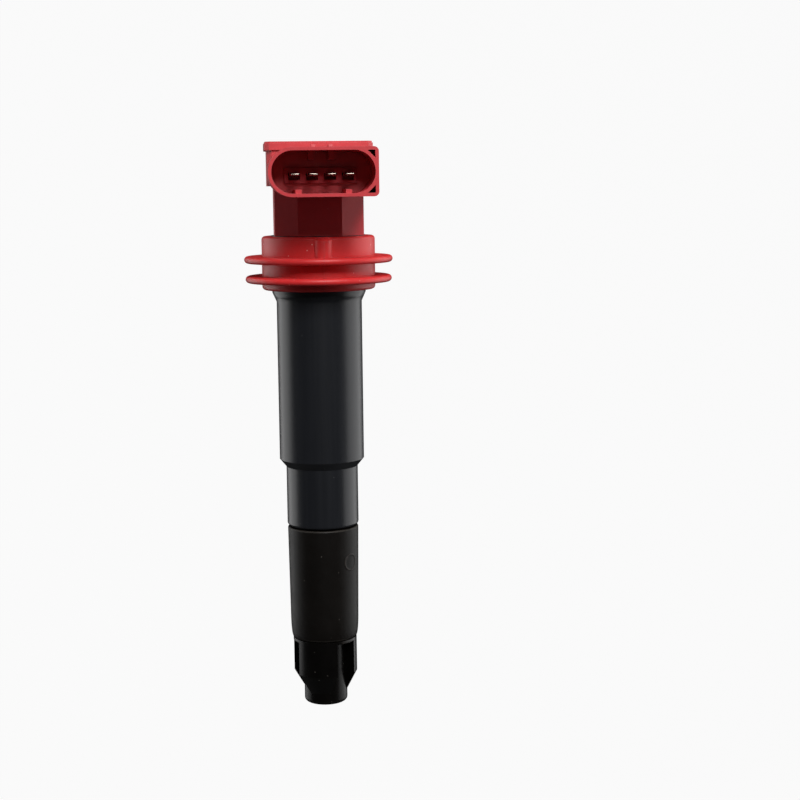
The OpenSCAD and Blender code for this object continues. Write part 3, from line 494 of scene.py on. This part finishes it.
MATERIALS = {
    # The housing's edges get a strong painted highlight in the pale pink, from the edge amount of
    # 0.9.
    "housing_red": moulded_plastic(
        "housing_red", (0.50, 0.014, 0.022), (0.56, 0.019, 0.028), (0.86, 0.40, 0.38),
        rough=0.44, grain_scale=3600.0, grain_depth=0.000022, edge_scuff_and_highlight=0.9, Specular_IOR_Level=0.62
    ),
    # The terminal carrier is the housing's red painted darker as shade inside the socket, with almost
    # no painted edge highlight.
    "carrier_red": moulded_plastic(
        "carrier_red", (0.34, 0.012, 0.020), (0.39, 0.015, 0.024), (0.60, 0.16, 0.17),
        rough=0.50, grain_scale=3600.0, grain_depth=0.00002, edge_scuff_and_highlight=0.05, Specular_IOR_Level=0.35
    ),
    "red_silicone": silicone("red_silicone"),
    "tube_plastic": tube_plastic("tube_plastic"),
    "boot_rubber": rubber(
        "boot_rubber", (0.0022, 0.0017, 0.0014), (0.0038, 0.0030, 0.0025), rough=0.46,
        bloom_colour=(0.010, 0.0078, 0.0062), bloom_share=0.26, grain_depth=0.00003, gloss=0.16
    ),
    "nozzle_rubber": rubber(
        "nozzle_rubber", (0.0012, 0.0010, 0.0009), (0.0022, 0.0018, 0.0016), rough=0.30,
        bloom_colour=(0.004, 0.0033, 0.0028), bloom_share=0.20, grain_depth=0.000012, gloss=0.20
    ),
    "black_resin": potting("black_resin"),
    "zinc_steel": metal("zinc_steel", (0.62, 0.63, 0.64), (0.50, 0.51, 0.52), 0.34),
    "tinned_bronze": metal("tinned_bronze", (0.36, 0.31, 0.26), (0.28, 0.24, 0.20), 0.20),
    "spring_steel": metal("spring_steel", (0.60, 0.61, 0.63), (0.48, 0.49, 0.51), 0.24),
    "contact_brass": metal(
        "contact_brass", (0.72, 0.50, 0.20), (0.62, 0.42, 0.16), 0.28, stain=(0.24, 0.15, 0.06)
    ),
    "magnet": metal("magnet", (0.50, 0.51, 0.53), (0.42, 0.43, 0.45), 0.30),
    "spreader_aluminium": metal("spreader_aluminium", (0.74, 0.75, 0.76), (0.64, 0.65, 0.66), 0.36),
    "shield_steel": metal("shield_steel", (0.40, 0.41, 0.43), (0.30, 0.31, 0.33), 0.40),
    "enamelled_wire": metal(
        "enamelled_wire", (0.52, 0.18, 0.07), (0.60, 0.24, 0.10), 0.30,
        streak_scale=300.0, stretch=1.0, stain=(0.30, 0.09, 0.04),
        Coat_Weight=0.5, Coat_Roughness=0.12
    ),
    "core_steel": laminated_steel("core_steel", sheet=0.0008),
    "enamelled_copper": wound_copper(
        "enamelled_copper", (0.52, 0.18, 0.07), (0.60, 0.24, 0.10), wire_pitch=0.0006
    ),
    "fine_copper": wound_copper(
        "fine_copper", (0.36, 0.13, 0.05), (0.44, 0.17, 0.07), wire_pitch=0.00025
    ),
    "ceramic_board": ceramic("ceramic_board", (0.74, 0.71, 0.62), (0.82, 0.79, 0.71)),
    "resistor_ceramic": ceramic("resistor_ceramic", (0.66, 0.60, 0.46), (0.74, 0.68, 0.54)),
    "bobbin_plastic": moulded_plastic(
        "bobbin_plastic", (0.62, 0.57, 0.44), (0.70, 0.65, 0.52), (0.85, 0.82, 0.72),
        rough=0.48, grain_scale=3000.0, grain_depth=0.00002
    ),
    "moulding_compound": moulded_plastic(
        "moulding_compound", (0.020, 0.020, 0.023), (0.032, 0.032, 0.036), (0.12, 0.12, 0.12),
        rough=0.55, grain_scale=4200.0, grain_depth=0.00002
    ),
    "shrink_sleeve": moulded_plastic(
        "shrink_sleeve", (0.030, 0.031, 0.036), (0.042, 0.043, 0.048), (0.12, 0.12, 0.13),
        rough=0.40, grain_scale=1500.0, grain_depth=0.00002
    ),
    "buffer_rubber": rubber(
        "buffer_rubber", (0.030, 0.030, 0.032), (0.045, 0.045, 0.048), rough=0.66,
        bloom_colour=(0.07, 0.07, 0.07), bloom_share=0.3, grain_depth=0.00004, gloss=0.30
    ),
}


# ------------------------------------------------------------------ finishing the CAD shapes

# Width below which a face belongs to a rounded edge
NARROW_FACE = 0.25 * MM
# Outward bend at which the edge attribute begins and is full, in degrees
EDGE_FROM, EDGE_TO = 10.0, 22.0


def mark_edges(mesh):
    """Writes the edge attribute: 1 on rounded outer edges, 0 where a wider face begins."""
    shape = bmesh.new()
    shape.from_mesh(mesh)
    shape.faces.index_update()
    narrow = [
        2 * face.calc_area() < NARROW_FACE * max(face.calc_perimeter(), 1e-9) for face in shape.faces
    ]
    values = [0.0] * len(shape.verts)
    for index, vertex in enumerate(shape.verts):
        bends = [e.calc_face_angle_signed(0.0) for e in vertex.link_edges if len(e.link_faces) == 2]
        outward = math.degrees(max(bends, default=0.0))
        if all(narrow[face.index] for face in vertex.link_faces):
            values[index] = min(1.0, max(0.0, (outward - EDGE_FROM) / (EDGE_TO - EDGE_FROM)))
    shape.free()
    attribute = mesh.attributes.new("edge", "FLOAT", "POINT")
    attribute.data.foreach_set("value", values)


def apply_modifiers(piece):
    """Turns the piece's modifiers into plain mesh."""
    evaluated = piece.evaluated_get(bpy.context.evaluated_depsgraph_get())
    mesh = bpy.data.meshes.new_from_object(evaluated)
    mesh.name = piece.name
    piece.modifiers.clear()
    piece.data = mesh


def new_piece(name, mesh, material, body, slot_name, *nodes):
    """Links a mesh as a piece with one material. Returns what settle needs."""
    piece = bpy.data.objects.new(name, mesh)
    bpy.context.scene.collection.objects.link(piece)
    mesh.materials.clear()
    mesh.materials.append(MATERIALS[material])
    return piece, body, slot_name, nodes


def settle(made, smooth_angle=24.0):
    """Gives a piece its edge attribute, its shading and its place in the frame."""
    piece, body, slot_name, nodes = made
    piece.data.polygons.foreach_set("use_smooth", [True] * len(piece.data.polygons))
    piece.data.set_sharp_from_angle(angle=math.radians(smooth_angle))
    flatten = piece.modifiers.new("flat_faces", "WEIGHTED_NORMAL")
    flatten.keep_sharp = True
    apply_modifiers(piece)
    mark_edges(piece.data)
    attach(piece, body)
    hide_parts(*nodes)
    return piece


def merged_copy(node):
    """A welded copy of a CAD node's mesh, with its flat faces joined up."""
    shape = bmesh.new()
    shape.from_mesh(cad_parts[node].data)
    bmesh.ops.remove_doubles(shape, verts=shape.verts, dist=WELD)
    bmesh.ops.dissolve_limit(
        shape, angle_limit=math.radians(FLAT_ANGLE), verts=shape.verts, edges=shape.edges
    )
    mesh = bpy.data.meshes.new(node)
    shape.to_mesh(mesh)
    shape.free()
    return mesh


# Distance within which corners are welded, in metres, and bend below which faces are one, in degrees
WELD, FLAT_ANGLE = 0.000002, 0.4


def round_edges(piece, width, segments=3, angle=26.0):
    """Rounds the edges that bend by more than the angle, in degrees. width is in metres."""
    bevel = piece.modifiers.new("edges", "BEVEL")
    bevel.width = width
    bevel.segments = segments
    bevel.limit_method = "ANGLE"
    bevel.angle_limit = math.radians(angle)
    bevel.use_clamp_overlap = True
    bevel.harden_normals = False
    bevel.miter_outer = "MITER_ARC"
    bevel.loop_slide = False
    apply_modifiers(piece)


def dress(node, name, material, body, slot_name, width, segments=3):
    """A CAD node's shape with its sharp edges rounded. width is in millimetres."""
    made = new_piece(name, merged_copy(node), material, body, slot_name, node)
    round_edges(made[0], width * MM, segments)
    return settle(made)


# ------------------------------------------------------------------ geometry-node tools

def new_tree(name, inputs):
    """A Geometry Nodes tree with named float or integer inputs and a material input."""
    tree = bpy.data.node_groups.new(name, "GeometryNodeTree")
    tree.interface.new_socket("Geometry", in_out="INPUT", socket_type="NodeSocketGeometry")
    for socket_name, kind in inputs:
        tree.interface.new_socket(socket_name, in_out="INPUT", socket_type=f"NodeSocket{kind}")
    tree.interface.new_socket("Material", in_out="INPUT", socket_type="NodeSocketMaterial")
    tree.interface.new_socket("Geometry", in_out="OUTPUT", socket_type="NodeSocketGeometry")
    return tree, tree.nodes.new("NodeGroupInput"), tree.nodes.new("NodeGroupOutput")


def finish_tree(tree, given, out, geometry):
    """Ends a tree: real geometry with its material."""
    realize = tree.nodes.new("GeometryNodeRealizeInstances")
    paint = tree.nodes.new("GeometryNodeSetMaterial")
    tree.links.new(geometry, realize.inputs["Geometry"])
    tree.links.new(realize.outputs["Geometry"], paint.inputs["Geometry"])
    tree.links.new(given.outputs["Material"], paint.inputs["Material"])
    tree.links.new(paint.outputs["Geometry"], out.inputs["Geometry"])


def grow(name, tree, body, slot_name, nodes, **values):
    """Runs a tree with the given input values, keeps its result as a mesh and sets its place."""
    piece = bpy.data.objects.new(name, bpy.data.meshes.new(name))
    bpy.context.scene.collection.objects.link(piece)
    modifier = piece.modifiers.new("grow", "NODES")
    modifier.node_group = tree
    for socket in tree.interface.items_tree:
        key = socket.name.lower().replace(" ", "_")
        if socket.in_out == "INPUT" and key in values:
            modifier[socket.identifier] = values[key]
    apply_modifiers(piece)
    piece.data.polygons.foreach_set("use_smooth", [True] * len(piece.data.polygons))
    mark_edges(piece.data)
    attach(piece, body)
    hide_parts(*nodes)
    return piece


def wound_wire_tree():
    """A wire wound round Z from the bottom up. A share of its turns lies closed at each end."""
    tree, given, out = new_tree("wound_wire", [
        ("Radius", "Float"), ("Wire radius", "Float"), ("Bottom", "Float"), ("Rise", "Float"),
        ("Closed rise", "Float"), ("Closed share", "Float"), ("Turns", "Float"),
        ("Points a turn", "Int"), ("Sides", "Int")
    ])
    value = given.outputs
    spiral = add(tree, "GeometryNodeCurveSpiral", values={"Height": 0.0})
    tree.links.new(value["Points a turn"], spiral.inputs["Resolution"])
    tree.links.new(value["Turns"], spiral.inputs["Rotations"])
    tree.links.new(value["Radius"], spiral.inputs["Start Radius"])
    tree.links.new(value["Radius"], spiral.inputs["End Radius"])
    along = add(tree, "GeometryNodeSplineParameter").outputs["Factor"]
    share = value["Closed share"]
    first = math_node(tree, "DIVIDE", along, share, clamp=True)
    last_start = math_node(tree, "SUBTRACT", 1.0, share)
    past = math_node(tree, "SUBTRACT", along, last_start)
    last = math_node(tree, "DIVIDE", past, share, clamp=True)
    open_share = math_node(tree, "SUBTRACT", last_start, share)
    middle = math_node(
        tree, "DIVIDE", math_node(tree, "SUBTRACT", along, share), open_share, clamp=True
    )
    open_rise = math_node(
        tree, "SUBTRACT", value["Rise"], math_node(tree, "MULTIPLY", value["Closed rise"], 2.0)
    )
    ends = math_node(tree, "MULTIPLY", math_node(tree, "ADD", first, last), value["Closed rise"])
    height = math_node(tree, "MULTIPLY_ADD", middle, open_rise, ends)
    lift = add(tree, "ShaderNodeCombineXYZ")
    tree.links.new(math_node(tree, "ADD", height, value["Bottom"]), lift.inputs["Z"])
    place = add(tree, "GeometryNodeSetPosition")
    tree.links.new(spiral.outputs["Curve"], place.inputs["Geometry"])
    tree.links.new(lift.outputs["Vector"], place.inputs["Offset"])
    section = add(tree, "GeometryNodeCurvePrimitiveCircle")
    tree.links.new(value["Sides"], section.inputs["Resolution"])
    tree.links.new(value["Wire radius"], section.inputs["Radius"])
    wire = add(tree, "GeometryNodeCurveToMesh", values={"Fill Caps": True})
    tree.links.new(place.outputs["Geometry"], wire.inputs["Curve"])
    tree.links.new(section.outputs["Curve"], wire.inputs["Profile Curve"])
    finish_tree(tree, given, out, wire.outputs["Mesh"])
    return tree


# ------------------------------------------------------------------ visible pieces

def dress_outside():
    dress("head_housing", "housing", "housing_red", "coil", "housing_red", 0.28)
    dress("terminal_carrier", "carrier", "carrier_red", "coil", "housing_red", 0.10, 2)
    dress("mount_bushing", "bushing", "zinc_steel", "coil", "zinc_steel", 0.10, 2)
    dress("coil_tube", "tube", "tube_plastic", "coil", "tube_plastic", 0.25)
    dress("well_seal", "seal", "red_silicone", "coil", "red_silicone", 0.20)
    dress("boot_sleeve", "boot", "boot_rubber", "boot", "boot_rubber", 0.25)
    dress("plug_nozzle", "nozzle", "nozzle_rubber", "boot", "nozzle_rubber", 0.35)
    for number in range(1, 5):
        dress(
            f"terminal_pin_{number}", f"blade_{number}", "tinned_bronze", "coil",
            "tinned_bronze", 0.10, 3
        )


def cast_resin():
    """The resin's top is a pool: it climbs the bowl's walls and lies flat in the middle."""
    mesh = merged_copy("potting_resin")
    shape = bmesh.new()
    shape.from_mesh(mesh)
    shape.faces.ensure_lookup_table()
    pool = max(shape.faces, key=lambda face: face.calc_center_median().z)
    for step, drop in POOL_STEPS:
        bmesh.ops.inset_region(
            shape, faces=[pool], thickness=step * MM, depth=-drop * MM,
            use_even_offset=True, use_boundary=True
        )
    shape.to_mesh(mesh)
    shape.free()
    made = new_piece("resin", mesh, "black_resin", "coil", "black_resin", "potting_resin")
    settle(made, TRIM_ANGLE)


# Bend above which an edge of the resin or of a trim piece is sharp, in degrees
TRIM_ANGLE = 40.0
# Distance inwards and drop of each ring of the resin's pool, in millimetres
POOL_STEPS = [
    (0.12, 0.13), (0.16, 0.12), (0.22, 0.11), (0.28, 0.09), (0.34, 0.07), (0.40, 0.05),
    (0.45, 0.03), (0.50, 0.015), (0.60, 0.005)
]


def node_surface(node):
    """A CAD node's surface, to cast rays on."""
    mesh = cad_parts[node].data
    return BVHTree.FromPolygons(
        [vertex.co for vertex in mesh.vertices], [face.vertices[:] for face in mesh.polygons]
    )


def finish_trim(name, shape, material, body):
    """A small closed trim piece, made from a bmesh, that stands for no CAD node."""
    bmesh.ops.recalc_face_normals(shape, faces=shape.faces)
    mesh = bpy.data.meshes.new(name)
    shape.to_mesh(mesh)
    shape.free()
    mesh.polygons.foreach_set("use_smooth", [True] * len(mesh.polygons))
    mesh.set_sharp_from_angle(angle=math.radians(TRIM_ANGLE))
    piece = new_piece(name, mesh, material, body, material)[0]
    mark_edges(mesh)
    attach(piece, body)


def gate_pad():
    """The low round pad that the boot's mould leaves at its gate."""
    surface = node_surface("boot_sleeve")
    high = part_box("boot_sleeve")[1]
    turn, middle, count = math.radians(PAD_TURN), high.z - PAD_DROP * MM, 40
    shape = bmesh.new()
    rings = []
    for radius, lift in PAD_PROFILE:
        ring = []
        for i in range(count):
            angle = 2 * math.pi * i / count
            z = middle + radius * MM * math.sin(angle)
            side = turn + radius * MM * math.cos(angle) / high.x
            outward = Vector((math.sin(side), -math.cos(side), 0))
            far = outward * 3 * high.x + Vector((0, 0, z))
            point = surface.ray_cast(far, -outward)[0]
            ring.append(shape.verts.new(point + outward * lift * MM))
        rings.append(ring)
    for outer, inner in zip(rings, rings[1:]):
        for a in range(count):
            b = (a + 1) % count
            shape.faces.new((outer[a], outer[b], inner[b], inner[a]))
    shape.faces.new(rings[0])
    shape.faces.new(rings[-1])
    finish_trim("gate_pad", shape, "boot_rubber", "boot")


# Place of the pad round the boot, in degrees to the right of the front, and below the boot's top
PAD_TURN, PAD_DROP = 47.0, 10.1
# Radius and lift of each ring of the pad, in millimetres
PAD_PROFILE = [
    (2.62, -0.25), (2.60, -0.02), (2.55, 0.09), (2.46, 0.16), (2.34, 0.18), (2.16, 0.16),
    (2.06, 0.09), (1.90, 0.07), (1.2, 0.07), (0.5, 0.07)
]


def mould_flash():
    """The thin line that the seal's mould leaves down its front."""
    surface = node_surface("well_seal")
    low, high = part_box("well_seal")
    side, depth, proud = 0.13 * MM, 0.3 * MM, 0.09 * MM
    start, shorter, steps = 0.05 * MM, 1.3 * MM, 110
    x = FLASH_X * MM
    front = []
    for i in range(steps + 1):
        z = low.z + start + (high.z - low.z - shorter) * i / steps
        point = surface.ray_cast(Vector((x, low.y * 2, z)), Vector((0, 1, 0)))[0]
        if point is not None:
            front.append(point)
    shape = bmesh.new()
    rings = []
    for i, point in enumerate(front):
        end = proud * 0.1 if i in (0, len(front) - 1) else proud
        rings.append([
            shape.verts.new((x - side, point.y + depth, point.z)),
            shape.verts.new((x - side * 0.5, point.y - end, point.z)),
            shape.verts.new((x + side * 0.5, point.y - end, point.z)),
            shape.verts.new((x + side, point.y + depth, point.z)),
        ])
    for lower, upper in zip(rings, rings[1:]):
        for a in range(4):
            b = (a + 1) % 4
            shape.faces.new((lower[a], lower[b], upper[b], upper[a]))
    shape.faces.new(rings[0][::-1])
    shape.faces.new(rings[-1])
    finish_trim("seal_flash", shape, "red_silicone", "coil")


# How far the line lies to the right of the seal's middle, in millimetres
FLASH_X = 0.75


def wind_primary():
    """The primary winding: one close layer of thick wire on its bobbin."""
    low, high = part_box("primary_winding")
    wire, bobbin_radius = 0.3 * MM, 9.4 * MM
    turns = math.floor((high.z - low.z) / (2 * wire)) - 1
    grow(
        "primary_wire", WOUND_WIRE, "coil", "enamelled_copper", ["primary_winding"],
        radius=bobbin_radius + wire, wire_radius=wire, bottom=low.z + wire,
        rise=high.z - low.z - 2 * wire, closed_rise=2 * wire, closed_share=1.0 / turns,
        turns=float(turns), points_a_turn=40, sides=6, material=MATERIALS["enamelled_wire"]
    )


def wind_spring():
    """The contact spring: seven turns of wire, closed at each end."""
    low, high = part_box("contact_spring")
    wire = 0.35 * MM
    length = high.z - low.z
    turns = 7.0
    piece = grow(
        "contact_coil", WOUND_WIRE, "coil", "spring_steel", ["contact_spring"],
        radius=high.x - wire, wire_radius=wire, bottom=low.z + wire,
        rise=length - 2 * wire, closed_rise=2.2 * wire, closed_share=1.0 / turns,
        turns=turns, points_a_turn=32, sides=10, material=MATERIALS["spring_steel"]
    )
    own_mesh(piece)


WOUND_WIRE = wound_wire_tree()

INNER_MATERIALS = {
    "driver_board": "ceramic_board",
    "power_module": "moulding_compound",
    "heat_spreader": "spreader_aluminium",
    "primary_leads": "enamelled_copper",
    "outer_core": "shield_steel",
    "primary_bobbin": "bobbin_plastic",
    "secondary_bobbin": "bobbin_plastic",
    "secondary_winding": "fine_copper",
    "central_core": "core_steel",
    "core_sleeve": "shrink_sleeve",
    "upper_magnet": "magnet",
    "lower_magnet": "magnet",
    "upper_buffer": "buffer_rubber",
    "lower_buffer": "buffer_rubber",
    "neck_resin": "black_resin",
    "high_voltage_diode": "moulding_compound",
    "high_voltage_cup": "contact_brass",
    "suppressor_resistor": "resistor_ceramic",
    "contact_cap": "spring_steel",
}


def finish_inner_nodes():
    """Gives each inner CAD node its material."""
    for node, material in INNER_MATERIALS.items():
        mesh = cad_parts[node].data
        mesh.materials.clear()
        mesh.materials.append(MATERIALS[material])


make_camera()
make_studio()
dress_outside()
cast_resin()
mould_flash()
gate_pad()
wind_primary()
wind_spring()
finish_inner_nodes()
